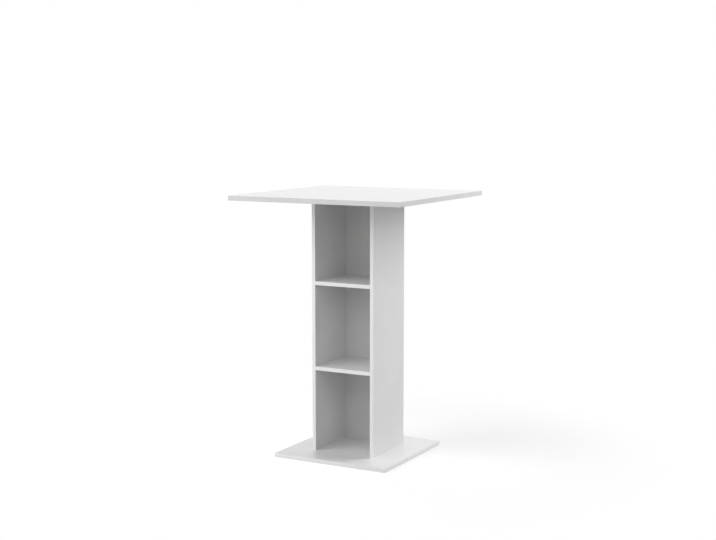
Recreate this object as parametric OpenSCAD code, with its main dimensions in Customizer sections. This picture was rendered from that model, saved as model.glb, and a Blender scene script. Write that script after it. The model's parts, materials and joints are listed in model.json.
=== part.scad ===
// Bar table: a square top on a column of boards with two shelves, open at the front, on a square base.
// Millimetres. The origin is on the floor under the middle of the table. +Z is up, the front faces -Y.

/* [Table] */
// Height of the table from the floor to its top face
table_h = 1058; // [950:1:1150]

/* [Table top] */
// Side of the square table top, over its edge bands
top_side = 750; // [650:1:850]
// Thickness of the table top
top_thick = 19; // [16:1:25]

/* [Base plate] */
// Side of the square base plate, over its edge bands
base_side = 500; // [420:1:560]
// Thickness of the base plate
base_thick = 15; // [15:1:22]

/* [Column] */
// Width of the column over its two side panels
column_w = 278; // [250:1:340]
// Depth of the column from its open front to its rear
column_d = 268; // [240:1:340]
// Thickness of the two side panels
side_thick = 15; // [15:1:19]
// Thickness of the panel that closes the rear of the column
back_thick = 15; // [15:1:19]
// Thickness of the two shelves
shelf_thick = 15; // [15:1:19]
// Clear height of the lowest compartment
lower_clear = 331; // [250:1:380]
// Clear height of the middle compartment
middle_clear = 331; // [250:1:380]

/* [Edge bands] */
// Thickness of the plastic bands on the boards' edges
band_thick = 1; // [0.8:0.1:2]
// Radius of the bands' outer corners
band_round = 0.6; // [0.2:0.1:0.8]

/* [Joint positions] */
// Distance from the column's front, and from its back panel, to the first fitting
joint_inset = 45; // [30:1:60]
// Step from a fitting to the dowel beside it
dowel_step = 32; // [20:1:36]
// Distance from the ends of the back panel to its first cams
back_inset = 90; // [60:1:120]
// Distance from the middle of the back panel to the dowels and screws across it
back_offset = 60; // [35:1:60]

/* [Cams and their bolts] */
// Diameter of a cam
cam_d = 15; // [12:0.5:16]
// Distance from the end of a board to the centres of its cams
cam_backset = 24; // [20:0.5:30]
// How far a cam reaches past the middle of its board
cam_reach = 4.5; // [4.2:0.1:5]
// Depth of the cross recess in a cam's face
recess_depth = 2.4; // [1.5:0.1:2.8]
// Length of each arm pair of the cross recess
recess_l = 7; // [5:0.5:9]
// Width of the arms of the cross recess
recess_w = 1.4; // [1:0.1:2]
// Diameter of a cam bolt's thread
thread_d = 5; // [4:0.1:6]
// Depth to which a cam bolt is screwed in
thread_l = 11; // [8:0.5:12]
// Diameter of the collar that centres a cam bolt
collar_d = 7; // [6.5:0.1:8]
// Length of that collar
collar_l = 2.5; // [1:0.5:5]
// Diameter of a cam bolt's shaft
shaft_d = 5; // [4.5:0.1:6]
// Diameter of the neck that the cam grips
neck_d = 3.6; // [3:0.1:4]
// Diameter of a cam bolt's head
head_d = 6.2; // [5:0.1:6.4]
// Length of a cam bolt's head
head_l = 2.4; // [2:0.1:3]
// Bevel at both ends of a cam bolt
bolt_bevel = 0.5; // [0.2:0.1:0.8]
// Diameter of the caps over the cams
cap_d = 17.5; // [17:0.5:20]
// Thickness of those caps
cap_thick = 1; // [0.8:0.1:1.5]
// Radius of the caps' outer edge
cap_round = 0.6; // [0.2:0.1:0.7]

/* [Dowels] */
// Diameter of the wooden dowels
dowel_d = 8; // [6:0.5:9]
// Length of the dowels
dowel_l = 30; // [25:1:35]
// Depth of the dowels in the face of a board; the rest is in the other board's end
dowel_face = 10; // [8:0.5:12]
// Chamfer at the dowels' ends
dowel_chamfer = 0.8; // [0.4:0.1:1.5]

/* [Base screws] */
// Diameter of the smooth shank of a base screw
screw_d = 7; // [6.5:0.1:8]
// Diameter of the thread of a base screw
screw_thread_d = 6.3; // [5:0.1:6.4]
// Length of a base screw over its head
screw_l = 50; // [40:1:60]
// Diameter of the countersunk head
screw_head_d = 10; // [9.5:0.1:12]
// Straight rim of the countersunk head
screw_rim = 0.5; // [0.3:0.1:1]
// Length of the tapered tip
screw_tip_l = 3; // [1:0.5:5]
// Diameter at the end of the tip
screw_tip_d = 3.3; // [2:0.1:4.5]
// Width across the corners of the hexagonal socket
socket_d = 4.6; // [3:0.1:5]
// Depth of the hexagonal socket
socket_depth = 3; // [2:0.1:4]

/* [Floor glides] */
// Diameter of a glide
glide_d = 22; // [18:1:30]
// Height of a glide
glide_h = 2; // [1.8:0.1:3]
// Radius of the glides' lower edge
glide_round = 0.8; // [0.4:0.1:1]
// Distance from the base plate's edges to the centre of a glide
glide_inset = 30; // [20:1:60]
// Diameter of the nail that holds a glide
nail_d = 1.8; // [1.4:0.1:2.4]
// Length of that nail over its head
nail_l = 12; // [9:0.5:14]
// Diameter of the nail's head
nail_head_d = 5; // [4:0.1:7]
// Thickness of the nail's head
nail_head_l = 0.8; // [0.5:0.1:1]
// Length of the nail's point
nail_point_l = 2.7; // [1:0.1:4]

/* [Clearances] */
// Gap round a pin in its bore
bore_gap = 0.1; // [0.05:0.05:0.2]
// Gap at the end of a pin in its bore
end_gap = 0.5; // [0.2:0.1:0.7]
// Depth to which the heads of screws and nails are sunk
sunk = 0.4; // [0.2:0.1:0.5]

/* [Hidden] */
$fn = 48;

// Colours
board_white = [0.93, 0.93, 0.92];
band_white = [0.95, 0.95, 0.94];
top_band_white = [0.88, 0.88, 0.88];
cap_white = [0.87, 0.87, 0.86];
zinc = [0.72, 0.73, 0.74];
steel = [0.60, 0.61, 0.63];
beech = [0.84, 0.70, 0.50];
glide_grey = [0.80, 0.80, 0.78];

// Levels, from the floor up
column_z = glide_h + base_thick;
top_z = table_h - top_thick;
panel_h = top_z - column_z;
lower_shelf_z = column_z + lower_clear;
upper_shelf_z = lower_shelf_z + shelf_thick + middle_clear;
shelf_levels = [lower_shelf_z, upper_shelf_z];

// The column in plan
LEFT = -1;
RIGHT = 1;
SIDES = [LEFT, RIGHT];
FRONT = -1;
REAR = 1;
inner_w = column_w - 2 * side_thick;
front_y = -column_d / 2;
rear_y = column_d / 2;
back_y = rear_y - back_thick;
back_mid_y = rear_y - back_thick / 2;
side_mid_x = (column_w - side_thick) / 2;

// Where the fittings sit along the column's depth, across its back and up its height
joint_y = [front_y + joint_inset, back_y - joint_inset];
dowel_y = [joint_y[0] + dowel_step, joint_y[1] - dowel_step];
back_x = [-back_offset, back_offset];
back_joint_z = [column_z + back_inset, column_z + panel_h / 2, top_z - back_inset];
back_dowel_z = [back_joint_z[0] + dowel_step, back_joint_z[2] - dowel_step];

// The head of a base screw: its lowest point under the column, and the length of its cone
screw_head_z = sunk - base_thick;
screw_cone_l = (screw_head_d - screw_d) / 2;

// How far a cutter runs past the face that it opens
past = 1;

// Round pieces and small profiles

// A disc on z = 0 whose upper edge is rounded
module rounded_disc(d, h, r) {
  rotate_extrude() {
    square([d / 2 - r, h]);
    square([d / 2, h - r]);
    translate([d / 2 - r, h - r]) intersection() {
      circle(r);
      square(r);
    }
  }
}

// A rectangle with rounded corners, its lowest corner at the origin
module rounded_rectangle(w, h, r) {
  translate([r, 0]) square([w - 2 * r, h]);
  translate([0, r]) square([w, h - 2 * r]);
  for (x = [r, w - r], y = [r, h - r]) translate([x, y]) circle(r);
}

// A cross of two arms on z = 0, downwards
module cross(length, width, depth) {
  for (turn = [0, 90]) rotate(turn)
    translate([-length / 2, -width / 2, -depth]) cube([length, width, depth]);
}

// Boards and their edge bands

// The outside of a square board that stands on z = 0, with all its edges rounded
module banded_board(side, thick) {
  intersection() {
    translate([-side / 2, -side / 2, 0])
      linear_extrude(thick) rounded_rectangle(side, side, band_round);
    translate([-side / 2, side / 2, 0]) rotate([90, 0, 0])
      linear_extrude(side) rounded_rectangle(side, thick, band_round);
    translate([-side / 2, -side / 2, 0]) rotate([90, 0, 90])
      linear_extrude(side) rounded_rectangle(side, thick, band_round);
  }
}

// The core of such a board, inside its bands
module board_core(side, thick) {
  core = side - 2 * band_thick;
  translate([-core / 2, -core / 2, 0]) cube([core, core, thick]);
}

// A band on the front edge, or the rear one, between the side bands
module front_band(side, thick, end = FRONT) {
  core = side - 2 * band_thick;
  intersection() {
    banded_board(side, thick);
    translate([-core / 2, end < 0 ? -side / 2 : core / 2, 0]) cube([core, band_thick, thick]);
  }
}

// A band on the left edge, or the right one, that covers the ends of the front and rear bands
module side_band(side, thick, end = LEFT) {
  core = side - 2 * band_thick;
  intersection() {
    banded_board(side, thick);
    translate([end < 0 ? -side / 2 : core / 2, -side / 2, 0]) cube([band_thick, side, thick]);
  }
}

// The section of a band with its outer face down, for a board of the given thickness
module band_section(thick) {
  intersection() {
    rounded_rectangle(thick, band_thick + 2 * band_round, band_round);
    square([thick, band_thick]);
  }
}

// A band that stands upright on a side panel, its outer face to the front
module upright_band() {
  linear_extrude(panel_h) translate([-side_thick / 2, 0]) band_section(side_thick);
}

// Fittings
// Each is drawn where two boards meet: z = 0 is the face of one board, and +Z runs into the end of the
// other, along the middle of its thickness. A cam opens to the +X face of that second board.

module bolt() {
  shaft_end = cam_backset - cam_d / 2 - end_gap;
  head_start = cam_backset - head_l / 2;
  head_end = cam_backset + head_l / 2;
  rotate_extrude() polygon([
    [0, -thread_l], [thread_d / 2 - bolt_bevel, -thread_l], [thread_d / 2, bolt_bevel - thread_l],
    [thread_d / 2, 0], [collar_d / 2, 0], [collar_d / 2, collar_l], [shaft_d / 2, collar_l],
    [shaft_d / 2, shaft_end], [neck_d / 2, shaft_end], [neck_d / 2, head_start],
    [head_d / 2, head_start], [head_d / 2, head_end - bolt_bevel], [head_d / 2 - bolt_bevel, head_end],
    [0, head_end]
  ]);
}

// The bolt's hole in the face of the first board
module bolt_pilot() {
  translate([0, 0, -thread_l - end_gap])
    cylinder(d = thread_d + 2 * bore_gap, h = thread_l + end_gap + past);
}

// The bolt's hole in the end of the second board, up to the middle of the cam
module bolt_bore() {
  translate([0, 0, -past]) cylinder(d = collar_d + 2 * bore_gap, h = cam_backset + past);
}

// Puts what is drawn on z = 0 on the board's face over the cam
module on_cam_face(board) {
  translate([board / 2, 0, cam_backset]) rotate([0, 90, 0]) children();
}

module cam(board) {
  height = board / 2 + cam_reach;
  pocket_d = head_d + 2 * end_gap;
  pocket_l = head_l + 2 * end_gap;
  difference() {
    on_cam_face(board) translate([0, 0, -height]) cylinder(d = cam_d, h = height);
    on_cam_face(board) translate([0, 0, past]) cross(recess_l, recess_w, recess_depth + past);
    translate([0, 0, cam_backset - cam_d / 2 - past])
      cylinder(d = neck_d + 2 * end_gap, h = cam_d / 2 + past);
    translate([0, 0, cam_backset - pocket_l / 2]) cylinder(d = pocket_d, h = pocket_l);
    translate([0, 0, cam_backset]) rotate([-90, 0, 0]) cylinder(d = pocket_d, h = cam_d / 2 + past);
  }
}

module cam_bore(board) {
  depth = board / 2 + cam_reach + end_gap;
  on_cam_face(board) translate([0, 0, -depth])
    cylinder(d = cam_d + 2 * bore_gap, h = depth + past);
}

// A cap on the board's face, with a cross that plugs into the cam's recess
module cap(board) {
  on_cam_face(board) {
    rounded_disc(cap_d, cap_thick, cap_round);
    cross(recess_l - 2 * bore_gap, recess_w - 2 * bore_gap, recess_depth - end_gap);
  }
}

module dowel() {
  radius = dowel_d / 2;
  end_radius = radius - dowel_chamfer;
  translate([0, 0, -dowel_face]) rotate_extrude() polygon([
    [0, 0], [end_radius, 0], [radius, dowel_chamfer],
    [radius, dowel_l - dowel_chamfer], [end_radius, dowel_l], [0, dowel_l]
  ]);
}

module dowel_bore() {
  translate([0, 0, -dowel_face - end_gap])
    cylinder(d = dowel_d + 2 * bore_gap, h = dowel_l + 2 * end_gap);
}

// A screw from below through the base plate, its head sunk in the underside
module base_screw() {
  rim_z = screw_head_z + screw_rim;
  tip_z = screw_head_z + screw_l;
  difference() {
    rotate_extrude() polygon([
      [0, screw_head_z], [screw_head_d / 2, screw_head_z], [screw_head_d / 2, rim_z],
      [screw_d / 2, rim_z + screw_cone_l], [screw_d / 2, 0], [screw_thread_d / 2, 0],
      [screw_thread_d / 2, tip_z - screw_tip_l], [screw_tip_d / 2, tip_z], [0, tip_z]
    ]);
    translate([0, 0, screw_head_z - past]) cylinder(d = socket_d, h = socket_depth + past, $fn = 6);
  }
}

// The screw's hole in the base plate, with its countersink
module screw_passage() {
  hole_d = screw_d + 2 * bore_gap;
  countersink_d = screw_head_d + 2 * bore_gap;
  translate([0, 0, -base_thick - past]) {
    cylinder(d = hole_d, h = base_thick + 2 * past);
    cylinder(d = countersink_d, h = sunk + screw_rim + past);
  }
  translate([0, 0, screw_head_z + screw_rim])
    cylinder(d1 = countersink_d, d2 = hole_d, h = screw_cone_l);
}

// The screw's hole in the end of the panel above
module screw_pilot() {
  translate([0, 0, -past])
    cylinder(d = screw_thread_d + 2 * bore_gap, h = screw_head_z + screw_l + end_gap + past);
}

// Places of the joints, each turned so that its fittings fit as drawn above

// The side panels' top ends, under the table top
module at_side_tops(places, sides = SIDES) {
  for (side = sides, y = places)
    translate([side * side_mid_x, y, top_z]) rotate(side < 0 ? [180, 0, 0] : [0, 180, 0]) children();
}

// The side panels' bottom ends, on the base plate
module at_side_feet(places, sides = SIDES) {
  for (side = sides, y = places) translate([side * side_mid_x, y, column_z]) children();
}

// The back panel's top end and its bottom end
module at_back_top() {
  for (x = back_x) translate([x, back_mid_y, top_z]) rotate([180, 0, 0]) children();
}

module at_back_foot() {
  for (x = back_x) translate([x, back_mid_y, column_z]) children();
}

// The back panel's side ends, against the side panels
module at_back_ends(heights, sides = SIDES) {
  for (side = sides, z = heights)
    translate([side * inner_w / 2, back_mid_y, z]) rotate([-90 * side, 0, 90]) children();
}

// The shelves' side ends, against the side panels
module at_shelf_ends(places, levels = shelf_levels, sides = SIDES) {
  for (z = levels, side = sides, y = places)
    translate([side * inner_w / 2, y, z + shelf_thick / 2]) rotate([0, 90, side < 0 ? 0 : 180])
      children();
}

// The shelves' rear edges, against the back panel
module at_shelf_rears(levels = shelf_levels) {
  for (z = levels, x = back_x) translate([x, back_y, z + shelf_thick / 2]) rotate([90, 0, 0]) children();
}

// The underside of the base plate over each glide
module at_glides() {
  place = base_side / 2 - glide_inset;
  for (x = [-place, place], y = [-place, place]) translate([x, y, glide_h]) children();
}

// Table top

module top_panel() {
  color(board_white) difference() {
    translate([0, 0, top_z]) board_core(top_side, top_thick);
    at_side_tops(joint_y) bolt_pilot();
    at_side_tops(dowel_y) dowel_bore();
    at_back_top() dowel_bore();
  }
}

module top_edge_front() {
  color(top_band_white) translate([0, 0, top_z]) front_band(top_side, top_thick);
}

module top_edge_rear() {
  color(top_band_white) translate([0, 0, top_z]) front_band(top_side, top_thick, REAR);
}

module top_edge_left() {
  color(top_band_white) translate([0, 0, top_z]) side_band(top_side, top_thick, LEFT);
}

module top_edge_right() {
  color(top_band_white) translate([0, 0, top_z]) side_band(top_side, top_thick, RIGHT);
}

// Base plate

module base_panel() {
  color(board_white) difference() {
    translate([0, 0, glide_h]) board_core(base_side, base_thick);
    at_side_feet(joint_y) screw_passage();
    at_back_foot() screw_passage();
    at_side_feet(dowel_y) dowel_bore();
    at_glides() nail_bore();
  }
}

module base_edge_front() {
  color(band_white) translate([0, 0, glide_h]) front_band(base_side, base_thick);
}

module base_edge_rear() {
  color(band_white) translate([0, 0, glide_h]) front_band(base_side, base_thick, REAR);
}

module base_edge_left() {
  color(band_white) translate([0, 0, glide_h]) side_band(base_side, base_thick, LEFT);
}

module base_edge_right() {
  color(band_white) translate([0, 0, glide_h]) side_band(base_side, base_thick, RIGHT);
}

// Column

// A side panel without its bands, drilled for all its joints
module side_panel(side) {
  sides = [side];
  color(board_white) difference() {
    translate([side * side_mid_x - side_thick / 2, front_y + band_thick, column_z])
      cube([side_thick, column_d - 2 * band_thick, panel_h]);
    at_side_tops(joint_y, sides) {
      cam_bore(side_thick);
      bolt_bore();
    }
    at_side_tops(dowel_y, sides) dowel_bore();
    at_side_feet(joint_y, sides) screw_pilot();
    at_side_feet(dowel_y, sides) dowel_bore();
    at_shelf_ends(joint_y, shelf_levels, sides) bolt_pilot();
    at_shelf_ends(dowel_y, shelf_levels, sides) dowel_bore();
    at_back_ends(back_joint_z, sides) bolt_pilot();
    at_back_ends(back_dowel_z, sides) dowel_bore();
  }
}

module side_front_edge(side) {
  color(band_white) translate([side * side_mid_x, front_y, column_z]) upright_band();
}

module side_rear_edge(side) {
  color(band_white) translate([side * side_mid_x, rear_y, column_z]) rotate(180) upright_band();
}

module left_side_panel() { side_panel(LEFT); }

module left_side_front_edge() { side_front_edge(LEFT); }

module left_side_rear_edge() { side_rear_edge(LEFT); }

module right_side_panel() { side_panel(RIGHT); }

module right_side_front_edge() { side_front_edge(RIGHT); }

module right_side_rear_edge() { side_rear_edge(RIGHT); }

module back_panel() {
  color(board_white) difference() {
    translate([-inner_w / 2, back_y, column_z]) cube([inner_w, back_thick, panel_h]);
    at_back_ends(back_joint_z) {
      cam_bore(back_thick);
      bolt_bore();
    }
    at_back_ends(back_dowel_z) dowel_bore();
    at_back_top() dowel_bore();
    at_back_foot() screw_pilot();
    at_shelf_rears() dowel_bore();
  }
}

// A shelf without its band, drilled for its joints
module shelf(level) {
  levels = [level];
  depth = column_d - back_thick - band_thick;
  color(board_white) difference() {
    translate([-inner_w / 2, front_y + band_thick, level]) cube([inner_w, depth, shelf_thick]);
    at_shelf_ends(joint_y, levels) {
      cam_bore(shelf_thick);
      bolt_bore();
    }
    at_shelf_ends(dowel_y, levels) dowel_bore();
    at_shelf_rears(levels) dowel_bore();
  }
}

// The band on the front edge of a shelf
module shelf_edge(level) {
  color(band_white) translate([inner_w / 2, front_y, level]) rotate([0, -90, 0])
    linear_extrude(inner_w) band_section(shelf_thick);
}

module upper_shelf() { shelf(upper_shelf_z); }

module upper_shelf_edge() { shelf_edge(upper_shelf_z); }

module lower_shelf() { shelf(lower_shelf_z); }

module lower_shelf_edge() { shelf_edge(lower_shelf_z); }

// Fittings between the top and the column

module top_cams() { color(zinc) at_side_tops(joint_y) cam(side_thick); }

module top_cam_bolts() { color(steel) at_side_tops(joint_y) bolt(); }

module top_cam_caps() { color(cap_white) at_side_tops(joint_y) cap(side_thick); }

module top_dowels() {
  color(beech) {
    at_side_tops(dowel_y) dowel();
    at_back_top() dowel();
  }
}

// Fittings of the shelves

module shelf_cams() { color(zinc) at_shelf_ends(joint_y) cam(shelf_thick); }

module shelf_cam_bolts() { color(steel) at_shelf_ends(joint_y) bolt(); }

module shelf_cam_caps() { color(cap_white) at_shelf_ends(joint_y) cap(shelf_thick); }

module shelf_end_dowels() { color(beech) at_shelf_ends(dowel_y) dowel(); }

module shelf_rear_dowels() { color(beech) at_shelf_rears() dowel(); }

// Fittings of the back panel

module back_cams() { color(zinc) at_back_ends(back_joint_z) cam(back_thick); }

module back_cam_bolts() { color(steel) at_back_ends(back_joint_z) bolt(); }

module back_cam_caps() { color(cap_white) at_back_ends(back_joint_z) cap(back_thick); }

module back_dowels() { color(beech) at_back_ends(back_dowel_z) dowel(); }

// Fittings between the base plate and the column

module base_screws() {
  color(steel) {
    at_side_feet(joint_y) base_screw();
    at_back_foot() base_screw();
  }
}

module base_dowels() { color(beech) at_side_feet(dowel_y) dowel(); }

// Floor glides
// Each is drawn under the base plate: z = 0 is the plate's underside.

module nail_bore() {
  translate([0, 0, -past])
    cylinder(d = nail_d + 2 * bore_gap, h = nail_l - glide_h + sunk + end_gap + past);
}

module floor_glides() {
  color(glide_grey) at_glides() difference() {
    rotate([180, 0, 0]) rounded_disc(glide_d, glide_h, glide_round);
    translate([0, 0, -glide_h - past])
      cylinder(d = nail_head_d + 2 * bore_gap, h = sunk + nail_head_l + past);
    translate([0, 0, -glide_h]) cylinder(d = nail_d + 2 * bore_gap, h = glide_h + past);
  }
}

module glide_nails() {
  head_z = sunk - glide_h;
  tip_z = head_z + nail_l;
  color(steel) at_glides() rotate_extrude() polygon([
    [0, head_z], [nail_head_d / 2, head_z], [nail_head_d / 2, head_z + nail_head_l],
    [nail_d / 2, head_z + nail_head_l], [nail_d / 2, tip_z - nail_point_l], [0, tip_z]
  ]);
}

top_panel();
top_edge_front();
top_edge_rear();
top_edge_left();
top_edge_right();
base_panel();
base_edge_front();
base_edge_rear();
base_edge_left();
base_edge_right();
left_side_panel();
left_side_front_edge();
left_side_rear_edge();
right_side_panel();
right_side_front_edge();
right_side_rear_edge();
back_panel();
upper_shelf();
upper_shelf_edge();
lower_shelf();
lower_shelf_edge();
top_cams();
top_cam_bolts();
top_cam_caps();
top_dowels();
shelf_cams();
shelf_cam_bolts();
shelf_cam_caps();
shelf_end_dowels();
shelf_rear_dowels();
back_cams();
back_cam_bolts();
back_cam_caps();
back_dowels();
base_screws();
base_dowels();
floor_glides();
glide_nails();
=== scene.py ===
import json
import math

import bpy
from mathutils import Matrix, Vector


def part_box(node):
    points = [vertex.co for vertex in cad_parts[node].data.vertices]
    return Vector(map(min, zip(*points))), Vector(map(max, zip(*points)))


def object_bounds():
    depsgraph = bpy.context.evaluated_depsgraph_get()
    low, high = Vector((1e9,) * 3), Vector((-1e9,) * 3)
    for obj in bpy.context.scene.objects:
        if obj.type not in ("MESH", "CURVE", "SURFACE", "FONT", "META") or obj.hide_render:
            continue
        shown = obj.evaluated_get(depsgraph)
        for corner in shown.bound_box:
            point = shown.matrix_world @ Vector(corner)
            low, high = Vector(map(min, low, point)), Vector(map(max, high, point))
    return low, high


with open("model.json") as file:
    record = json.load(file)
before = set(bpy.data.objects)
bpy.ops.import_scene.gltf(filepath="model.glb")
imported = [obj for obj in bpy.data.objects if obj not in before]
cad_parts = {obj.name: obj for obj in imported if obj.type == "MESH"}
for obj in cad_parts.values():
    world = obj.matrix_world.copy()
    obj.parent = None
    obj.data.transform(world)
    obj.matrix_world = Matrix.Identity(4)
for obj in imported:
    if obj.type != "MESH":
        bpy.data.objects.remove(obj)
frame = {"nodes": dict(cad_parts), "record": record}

CAD_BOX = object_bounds()
LOW, HIGH = CAD_BOX
NODES = frame["nodes"]


# Camera

# The photograph's width and focal length in pixels, and the view that was fitted to the table's edges
PHOTO_W = 716
FOCAL_PX = 1334.0
CAMERA_AT = Vector((2.555, -4.694, 1.412))
CAMERA_YAW = math.radians(28.58)
CAMERA_PITCH = math.radians(7.09)
SENSOR_MM = 36.0
CLIP_NEAR = 0.05
CLIP_FAR = 100.0


def make_camera():
    """A camera that looks along +Y, turned left by the yaw and down by the pitch."""
    data = bpy.data.cameras.new("camera")
    data.sensor_width = SENSOR_MM
    data.lens = FOCAL_PX / PHOTO_W * SENSOR_MM
    data.clip_start = CLIP_NEAR
    data.clip_end = CLIP_FAR
    camera = bpy.data.objects.new("camera", data)
    bpy.context.scene.collection.objects.link(camera)
    forward = Vector((
        -math.sin(CAMERA_YAW) * math.cos(CAMERA_PITCH),
        math.cos(CAMERA_YAW) * math.cos(CAMERA_PITCH),
        -math.sin(CAMERA_PITCH),
    ))
    camera.location = CAMERA_AT
    camera.rotation_euler = forward.to_track_quat("-Z", "Y").to_euler()
    bpy.context.scene.camera = camera


# Node helpers

X, Y, Z = 0, 1, 2
# Blender's noise lies mostly between these values
NOISE_LOW = 0.3
NOISE_HIGH = 0.7
PLAIN_DETAIL = 2.0
# Sockets of Blender's mix node: both inputs and the output, for numbers and for colours
MIX_NUMBERS = (2, 3, 0)
MIX_COLOURS = (6, 7, 2)


class Graph:
    """The node tree of a material or a world, with short calls that add nodes and link them."""

    def __init__(self, owner, output="ShaderNodeOutputMaterial"):
        self.owner = owner
        self.output = output
        owner.use_nodes = True
        self.tree = owner.node_tree
        self.tree.nodes.clear()
        self.where = self.add("ShaderNodeTexCoord")

    def add(self, kind, inputs=None, **settings):
        """Adds a node. An input is linked where its value is a socket, and otherwise set."""
        node = self.tree.nodes.new(kind)
        for key, value in settings.items():
            setattr(node, key, value)
        for key, value in (inputs or {}).items():
            if isinstance(value, bpy.types.NodeSocket):
                self.tree.links.new(value, node.inputs[key])
            else:
                node.inputs[key].default_value = value
        return node

    def math(self, operation, *values):
        return self.add("ShaderNodeMath", dict(enumerate(values)), operation=operation).outputs[0]

    def part(self, vector, axis):
        """A vector's part along an axis, or a colour's red, green or blue in the same order."""
        return self.add("ShaderNodeSeparateXYZ", {0: vector}).outputs[axis]

    def stretched(self, axis, factor):
        """The place on the object, with patterns drawn out along one axis."""
        scale = [1.0, 1.0, 1.0]
        scale[axis] = 1.0 / factor
        place = self.where.outputs["Object"]
        return self.add("ShaderNodeVectorMath", {0: place, 1: scale}, operation="MULTIPLY").outputs[0]

    def noise(self, size, detail=PLAIN_DETAIL, place=None):
        """Soft noise whose patches are about as wide as the size, in metres."""
        inputs = {"Vector": place or self.where.outputs["Object"], "Scale": 1.0 / size, "Detail": detail}
        return self.add("ShaderNodeTexNoise", inputs).outputs["Fac"]

    def spread(self, value, low, high, start=NOISE_LOW, end=NOISE_HIGH, kind="LINEAR"):
        """Maps a value between start and end to one between low and high."""
        inputs = {"Value": value, "From Min": start, "From Max": end, "To Min": low, "To Max": high}
        return self.add("ShaderNodeMapRange", inputs, interpolation_type=kind).outputs["Result"]

    def drift(self, size, detail=PLAIN_DETAIL):
        """Noise spread over 0 to 1, as the share in a mix of two colours."""
        return self.spread(self.noise(size, detail), 0.0, 1.0)

    def blend(self, share, first, second):
        """Mixes two numbers: the second one's share is given."""
        one, two, result = MIX_NUMBERS
        inputs = {0: share, one: first, two: second}
        return self.add("ShaderNodeMix", inputs, data_type="FLOAT").outputs[result]

    def mix(self, share, first, second):
        """Mixes two colours: the second one's share is given."""
        one, two, result = MIX_COLOURS
        inputs = {0: share, one: first, two: second}
        return self.add("ShaderNodeMix", inputs, data_type="RGBA").outputs[result]

    def bump(self, height, depth):
        """A surface that rises by the depth, in metres, as the height goes from 0 to 1."""
        return self.add("ShaderNodeBump", {"Height": height, "Distance": depth}).outputs["Normal"]

    def surface(self, **inputs):
        """Ends the tree in one Principled shader, and returns the material."""
        named = {key.replace("_", " "): value for key, value in inputs.items()}
        shader = self.add("ShaderNodeBsdfPrincipled", named)
        return self.finish(shader.outputs[0])

    def finish(self, shader):
        self.add(self.output, {"Surface": shader})
        return self.owner


def new_material(name):
    return Graph(bpy.data.materials.new(name))


def grey(value, warmth=0.0):
    """A linear colour near grey; warmth takes away a share of the blue, and half as much green."""
    return (value, value * (1.0 - warmth / 2.0), value * (1.0 - warmth), 1.0)


# Boards and their edge bands

BOARD_TONE = 0.75
# All bands are one white edge band. The bands of the column, the shelves and the base are paler than the
# boards, which is painted light on those edges; the top's bands are greyer, which is painted shade.
LIT_BAND_TONE = 0.90
SHADED_TOP_BAND_TONE = 0.67
TONE_DRIFT = 0.01
PLASTIC_IOR = 1.5
GLUE = grey(0.58, warmth=0.04)
GLUE_LINE = 0.0005
CHIP_DARK = (0.25, 0.15, 0.08, 1.0)
CHIP_PALE = (0.56, 0.40, 0.23, 1.0)
CHIPS_PER_METRE = 380.0
# A chip's thickness as a share of its length
CHIP_FLATNESS = 0.4
CUT_ROUGHNESS = 0.88
# The height of the chips on a cut edge, in metres, and the pearl grain's height as a share of it
CHIP_DEPTH = 0.00015
PEARL_SHARE = 0.03
# The least part of a normal along the board's thickness that makes the surface a face, not a cut edge
FLAT_ENOUGH = 0.9

# Thickness axis of each board, and its banded sides: an axis, and 0 for the low side or 1 for the high
ALL_ROUND = ((X, 0), (X, 1), (Y, 0), (Y, 1))
FRONT_AND_REAR = ((Y, 0), (Y, 1))
FRONT_ONLY = ((Y, 0),)
BOARDS = {
    "top_panel": (Z, ALL_ROUND),
    "base_panel": (Z, ALL_ROUND),
    "left_side_panel": (X, FRONT_AND_REAR),
    "right_side_panel": (X, FRONT_AND_REAR),
    "back_panel": (Y, ()),
    "upper_shelf": (Z, FRONT_ONLY),
    "lower_shelf": (Z, FRONT_ONLY),
}


def glue_line(g, node, banded):
    """1 where a face of the board meets its edge band, and falling to 0 beside that thin line."""
    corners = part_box(node)
    line = 0.0
    for axis, side in banded:
        away = g.math("SUBTRACT", g.part(g.where.outputs["Object"], axis), corners[side][axis])
        near = g.spread(g.math("ABSOLUTE", away), low=1.0, high=0.0, start=0.0, end=GLUE_LINE)
        line = g.math("MAXIMUM", line, near)
    return line


def board(node, thickness_axis, banded):
    """White melamine on both faces, and bare particle board on the cut edges and in the bores."""
    g = new_material(f"melamine_{node}")
    upright = g.math("ABSOLUTE", g.part(g.where.outputs["Normal"], thickness_axis))
    cut = g.math("LESS_THAN", upright, FLAT_ENOUGH)

    deep = grey(BOARD_TONE - TONE_DRIFT, warmth=0.01)
    pale = grey(BOARD_TONE + TONE_DRIFT)
    white = g.mix(g.drift(size=0.12, detail=3.0), deep, pale)
    white = g.mix(glue_line(g, node, banded), white, GLUE)
    pearl = g.noise(size=0.0011)
    handled = g.spread(g.noise(size=0.045, detail=4.0), low=0.31, high=0.35)
    silky = g.math("ADD", handled, g.spread(pearl, low=-0.01, high=0.01))

    lying = g.stretched(thickness_axis, CHIP_FLATNESS)
    chips = g.add("ShaderNodeTexVoronoi", {"Vector": lying, "Scale": CHIPS_PER_METRE})
    chip_tone = g.part(chips.outputs["Color"], 0)
    wood = g.mix(chip_tone, CHIP_DARK, CHIP_PALE)

    height = g.blend(cut, g.math("MULTIPLY", pearl, PEARL_SHARE), chip_tone)
    return g.surface(
        Base_Color=g.mix(cut, white, wood),
        Roughness=g.blend(cut, silky, CUT_ROUGHNESS),
        IOR=PLASTIC_IOR,
        Normal=g.bump(height, CHIP_DEPTH),
    )


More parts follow.
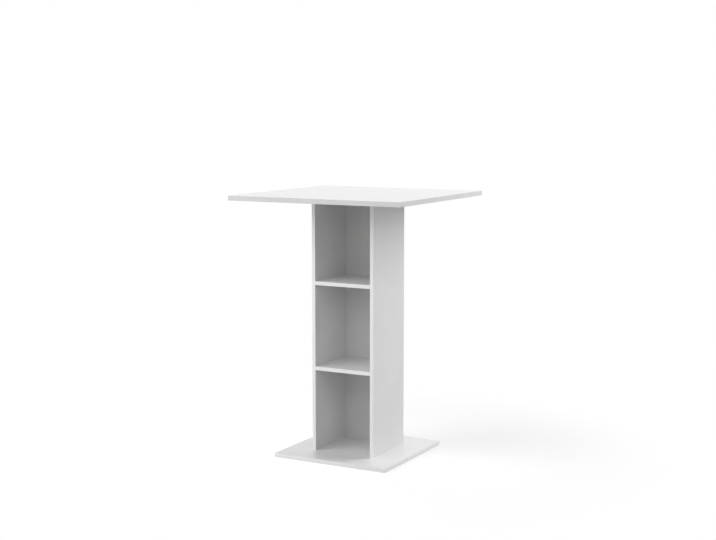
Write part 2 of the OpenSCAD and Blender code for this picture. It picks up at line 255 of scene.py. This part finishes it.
def edge_band(name, tone):
    """White plastic edge band with a fine matt grain."""
    g = new_material(name)
    grain = g.noise(size=0.0008)
    worn = g.spread(g.noise(size=0.02), low=0.36, high=0.42)
    return g.surface(
        Base_Color=g.mix(g.drift(size=0.09), grey(tone - TONE_DRIFT), grey(tone + TONE_DRIFT)),
        Roughness=g.math("ADD", worn, g.spread(grain, low=-0.02, high=0.02)),
        IOR=PLASTIC_IOR,
        Normal=g.bump(grain, depth=0.000004),
    )


# Fittings

def mottled(name, tones, patch, grain, roughness, depth, detail=PLAIN_DETAIL, **optics):
    """A surface that drifts between two tones, with one fine grain in its gloss and in its relief."""
    g = new_material(name)
    fine = g.noise(grain, detail)
    return g.surface(
        Base_Color=g.mix(g.drift(patch), *tones),
        Roughness=g.spread(fine, *roughness),
        Normal=g.bump(fine, depth),
        **optics,
    )


def white_cap():
    """Plastic, a little greyer than the boards, with the soft matt of a spark-eroded mould."""
    return mottled(
        "white_cap_plastic",
        tones=(grey(0.60, warmth=0.02), grey(0.65, warmth=0.01)),
        patch=0.006,
        grain=0.0005,
        roughness=(0.44, 0.54),
        depth=0.000006,
        IOR=1.46,
    )


def glide_plastic():
    """Off-white plastic."""
    return mottled(
        "glide_plastic",
        tones=(grey(0.56, warmth=0.04), grey(0.62, warmth=0.03)),
        patch=0.012,
        grain=0.0008,
        roughness=(0.48, 0.60),
        depth=0.00001,
    )


def die_cast_zinc():
    """Dull grey cast metal, mottled where it cooled and a little rough."""
    return mottled(
        "die_cast_zinc",
        tones=(grey(0.42), grey(0.56)),
        patch=0.003,
        grain=0.0006,
        roughness=(0.42, 0.58),
        depth=0.00001,
        detail=4.0,
        Metallic=1.0,
    )


def plated_steel():
    """Bright zinc plating with a faint yellow and blue bloom."""
    return mottled(
        "zinc_plated_steel",
        tones=((0.60, 0.57, 0.50, 1.0), (0.52, 0.55, 0.60, 1.0)),
        patch=0.004,
        grain=0.0004,
        roughness=(0.24, 0.36),
        depth=0.000004,
        Metallic=1.0,
    )


BEECH_DARK = (0.52, 0.33, 0.17, 1.0)
BEECH_PALE = (0.64, 0.44, 0.25, 1.0)
BEECH_FLECK = (0.36, 0.21, 0.11, 1.0)
# How much longer than wide the grain and the flecks are
GRAIN_LENGTH = 12.0
FLECK_LENGTH = 4.0
# The noise that begins a fleck, and the noise in the middle of one
FLECK_START = 0.62
FLECK_FULL = 0.70
# The axis along which each group of dowels lies
DOWEL_AXES = {
    "top_dowels": Z,
    "base_dowels": Z,
    "shelf_end_dowels": X,
    "shelf_rear_dowels": Y,
    "back_dowels": X,
}


def beech(axis):
    """Raw beech with its grain and its short dark flecks along the dowel."""
    g = new_material(f"raw_beech_{'xyz'[axis]}")
    grain = g.noise(size=0.0009, detail=3.0, place=g.stretched(axis, GRAIN_LENGTH))
    spots = g.noise(size=0.0006, place=g.stretched(axis, FLECK_LENGTH))
    flecks = g.spread(spots, 0.0, 1.0, FLECK_START, FLECK_FULL)
    plain = g.mix(g.spread(grain, 0.0, 1.0), BEECH_DARK, BEECH_PALE)
    return g.surface(
        Base_Color=g.mix(flecks, plain, BEECH_FLECK),
        Roughness=g.spread(grain, low=0.75, high=0.62),
        Normal=g.bump(grain, depth=0.00006),
    )


def dress_nodes():
    """Gives every CAD node its material: its own for a board, and else that of its grain or its slot."""
    by_slot = {
        # One edge band in two tones: the paler one is painted light, and the greyer one on the top is
        # painted shade.
        "edge_band": edge_band("edge_band_painted_light", LIT_BAND_TONE),
        "top_band": edge_band("top_band_painted_shade", SHADED_TOP_BAND_TONE),
        "cap": white_cap(),
        "cam_zinc": die_cast_zinc(),
        "fastener_steel": plated_steel(),
        "glide": glide_plastic(),
    }
    by_node = {node: board(node, axis, banded) for node, (axis, banded) in BOARDS.items()}
    grains = {axis: beech(axis) for axis in (X, Y, Z)}
    by_node.update({node: grains[axis] for node, axis in DOWEL_AXES.items()})
    for part in frame["record"]["subparts"]:
        node = part["node"]
        materials = NODES[node].data.materials
        materials.clear()
        materials.append(by_node.get(node) or by_slot[part["material_slot"]])


# Floor and surroundings

FLOOR_RADIUS = 6.0
FLOOR_SIDES = 96
# The floor lies this far under the glides
FLOOR_DROP = 0.0001
FLOOR_TONE = 0.80
FLOOR_PATCH = 0.3
# A glow that only the camera and reflections see. It brings the lit floor up to white.
FLOOR_LIFT = 0.50
# The distances from the middle between which what is seen of the floor, with the table's shadow on it,
# fades to plain white
FADE_START = 0.45
FADE_END = 1.3
WORLD_LIGHT = 0.03


def seen_rays(g):
    """1 for what is seen directly, in a reflection or through glass, and 0 for light on the object."""
    rays = g.add("ShaderNodeLightPath")
    seen = g.math("MAXIMUM", rays.outputs["Is Camera Ray"], rays.outputs["Is Glossy Ray"])
    return g.math("MAXIMUM", seen, rays.outputs["Is Transmission Ray"])


def floor_material():
    """A pale floor that takes the table's shadow and fades to the white background around it."""
    g = new_material("pale_floor")
    place = g.where.outputs["Object"]
    distance = g.add("ShaderNodeVectorMath", {0: place}, operation="LENGTH").outputs["Value"]
    fade = g.spread(distance, 0.0, 1.0, FADE_START, FADE_END, "SMOOTHSTEP")
    seen = seen_rays(g)
    tone = g.mix(g.drift(FLOOR_PATCH), grey(FLOOR_TONE - TONE_DRIFT), grey(FLOOR_TONE))
    plain = g.add("ShaderNodeBsdfDiffuse", {"Color": tone}).outputs[0]
    lift = g.add("ShaderNodeEmission", {"Strength": g.math("MULTIPLY", seen, FLOOR_LIFT)}).outputs[0]
    near = g.add("ShaderNodeAddShader", {0: plain, 1: lift}).outputs[0]
    far = g.add("ShaderNodeEmission", {"Strength": 1.0}).outputs[0]
    share = g.math("MULTIPLY", seen, fade)
    material = g.finish(g.add("ShaderNodeMixShader", {0: share, 1: near, 2: far}).outputs[0])
    material.cycles.emission_sampling = "NONE"
    return material


def make_floor():
    turns = [2.0 * math.pi * i / FLOOR_SIDES for i in range(FLOOR_SIDES)]
    level = LOW.z - FLOOR_DROP
    points = [(FLOOR_RADIUS * math.cos(turn), FLOOR_RADIUS * math.sin(turn), level) for turn in turns]
    mesh = bpy.data.meshes.new("floor")
    mesh.from_pydata(points, [], [range(FLOOR_SIDES)])
    mesh.materials.append(floor_material())
    floor = bpy.data.objects.new("floor", mesh)
    bpy.context.scene.collection.objects.link(floor)
    return floor


def make_world():
    """White where it is seen or reflected, and a faint even light on everything else."""
    g = Graph(bpy.data.worlds.new("studio"), "ShaderNodeOutputWorld")
    strength = g.blend(seen_rays(g), WORLD_LIGHT, 1.0)
    background = g.add("ShaderNodeBackground", {"Color": grey(1.0), "Strength": strength})
    bpy.context.scene.world = g.finish(background.outputs[0])


# Lights

# A ring of square soft boxes that look at the middle of the table. Azimuth 0 is in front of it, where the
# column is open, and 90 is to its right.
AIM = Vector((0.0, 0.0, HIGH.z / 2.0))
LIGHT_DISTANCE = 4.0
# Kinds of box: elevation in degrees and side in metres
HIGH_BOX = (36.0, 3.0)
LOW_BOX = (14.0, 2.0)
# Name, kind of box, azimuth in degrees, power in watts, and whether it lights the floor too. The right rear
# lamps don't, so that the table's shadow on the floor falls to the right.
LIGHTS = [
    ("front", HIGH_BOX, 0.0, 35.0, True),
    ("right_front", HIGH_BOX, 45.0, 35.0, True),
    ("right_rear", HIGH_BOX, 135.0, 117.0, False),
    ("low_right_rear", LOW_BOX, 135.0, 32.0, False),
    ("rear", HIGH_BOX, 180.0, 12.0, True),
    ("left_rear", HIGH_BOX, 225.0, 48.0, True),
    ("left_front", HIGH_BOX, 315.0, 57.0, True),
    ("low_left_front", LOW_BOX, 315.0, 33.0, True),
]


def spare(light, thing):
    """Keeps a lamp's light off one thing."""
    spared = bpy.data.collections.new(f"{light.name}_spares")
    spared.objects.link(thing)
    spared.collection_objects[0].light_linking.link_state = "EXCLUDE"
    light.light_linking.receiver_collection = spared


def make_light(name, box, azimuth, power, on_floor, floor):
    """A lamp that lights the table but isn't reflected in it. Reflections show the white around it."""
    elevation, side = box
    turn, rise = math.radians(azimuth), math.radians(elevation)
    away = Vector((math.sin(turn) * math.cos(rise), -math.cos(turn) * math.cos(rise), math.sin(rise)))
    data = bpy.data.lights.new(name, "AREA")
    data.shape = "SQUARE"
    data.size = side
    data.energy = power
    light = bpy.data.objects.new(name, data)
    bpy.context.scene.collection.objects.link(light)
    light.visible_glossy = False
    light.location = AIM + away * LIGHT_DISTANCE
    light.rotation_euler = (-away).to_track_quat("-Z", "Y").to_euler()
    if not on_floor:
        spare(light, floor)


make_camera()
dress_nodes()
pale_floor = make_floor()
make_world()
for settings in LIGHTS:
    make_light(*settings, pale_floor)
bpy.context.scene.view_settings.view_transform = "Standard"
